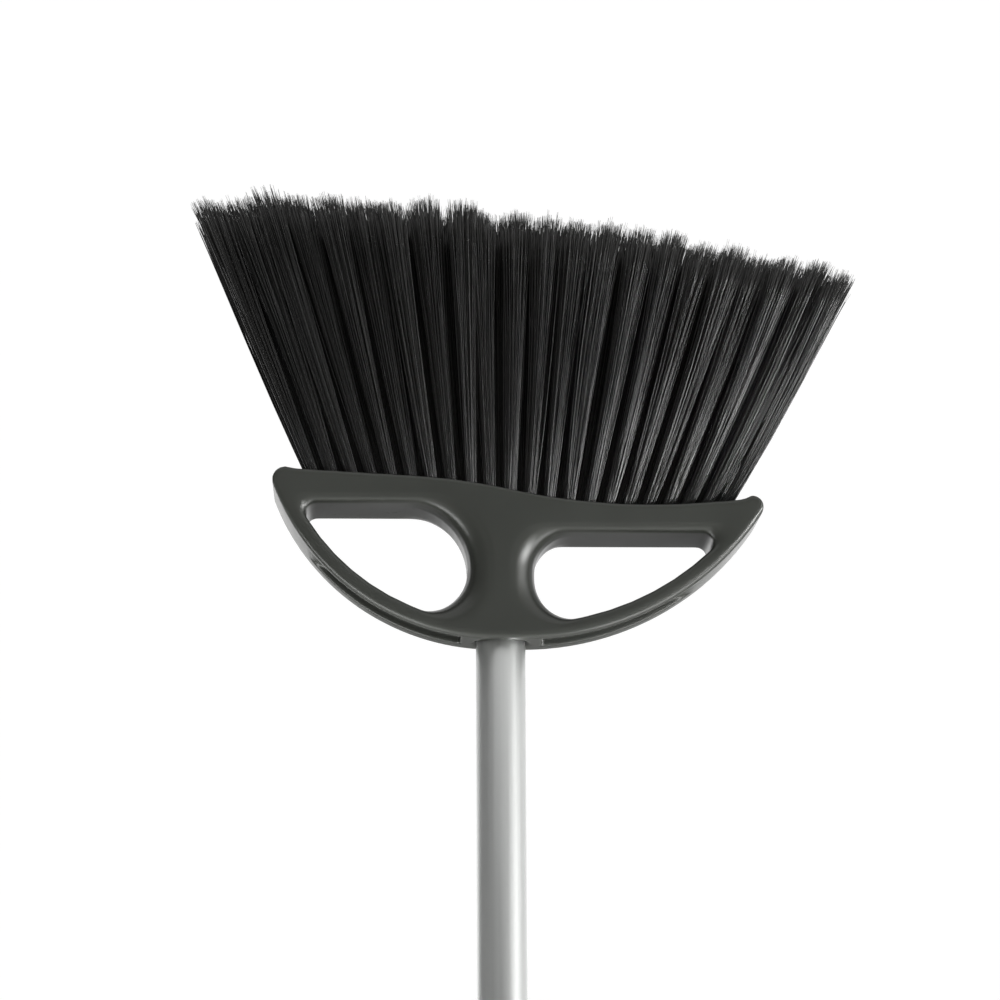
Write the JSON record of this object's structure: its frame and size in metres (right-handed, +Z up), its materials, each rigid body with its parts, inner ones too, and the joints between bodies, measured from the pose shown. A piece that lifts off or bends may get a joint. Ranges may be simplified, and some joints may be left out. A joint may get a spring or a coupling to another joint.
{
  "type": "lobby broom",
  "caption": "Upright lobby broom: angled moulded head with two hand windows, fanned staple-set bristles and an aluminium tube handle that screws into the head",
  "frame": {"origin": "centre of the hang hole in the cap on the handle's end", "axes": "+Z up along the handle, +X towards the long side of the bristles, -Y towards the front face seen in the picture"},
  "size_m": [0.2515, 0.0428, 0.9111],
  "materials": {
    "head_plastic": "satin charcoal moulding with smooth rounded edges",
    "bristle": "black crimp-free filament with split tips",
    "staple_wire": "plain flat wire",
    "tube": "satin anodised with fine draw lines",
    "tip_plastic": "moulded thread",
    "cap_plastic": "satin moulding"
  },
  "bodies": {
    "head": {"head": "head_plastic", "bristle_row_1": "bristle", "bristle_row_2": "bristle", "bristle_row_3": "bristle", "bristle_row_4": "bristle", "staple_row_1": "staple_wire", "staple_row_2": "staple_wire", "staple_row_3": "staple_wire", "staple_row_4": "staple_wire"},
    "hang_cap": {"hang_cap": "cap_plastic"},
    "handle": {"handle_tube": "tube", "handle_tip": "tip_plastic"}
  },
  "joints": [
    {"name": "handle_backout", "type": "slide", "parent": "head", "child": "hang_cap", "axis": [0, 0, 1], "range_m": [0, 0.02201]},
    {"name": "handle_turn", "type": "hinge", "parent": "hang_cap", "child": "handle", "pos_m": [0, 0, 0], "axis": [0, 0, 1], "range_deg": [0, 1560]}
  ],
  "couplings": [
    {"joint": "handle_backout", "follows": "handle_turn", "m_per_rad": 0.00080851}
  ]
}
